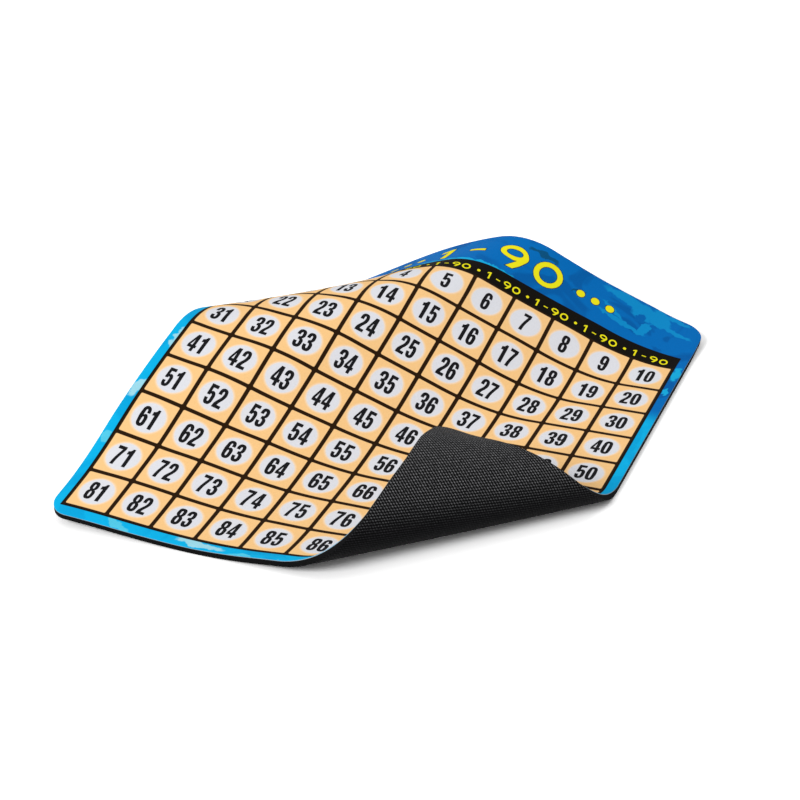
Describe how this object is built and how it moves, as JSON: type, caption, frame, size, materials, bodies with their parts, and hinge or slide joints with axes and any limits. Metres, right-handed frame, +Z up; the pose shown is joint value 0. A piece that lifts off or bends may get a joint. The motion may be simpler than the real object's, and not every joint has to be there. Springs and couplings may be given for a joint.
{
  "type": "bingo mat",
  "caption": "Soft rubber-backed bingo mat with rounded corners, lying with a low diagonal wave and one corner curled up and over.",
  "frame": {"origin": "middle of the part's bounding box, on the plane that the mat lies on", "axes": "+Z up from the table, +X along a row of numbers in reading direction, +Y from the last row towards the title band"},
  "size_m": [0.2462, 0.2754, 0.05],
  "materials": {
    "printed_cloth": "matte",
    "hot_melt_film": "satin",
    "sponge_rubber": "matte"
  },
  "bodies": {
    "root": {"face_cloth": "printed_cloth", "bond_film": "hot_melt_film", "rubber_base": "sponge_rubber"}
  },
  "joints": []
}
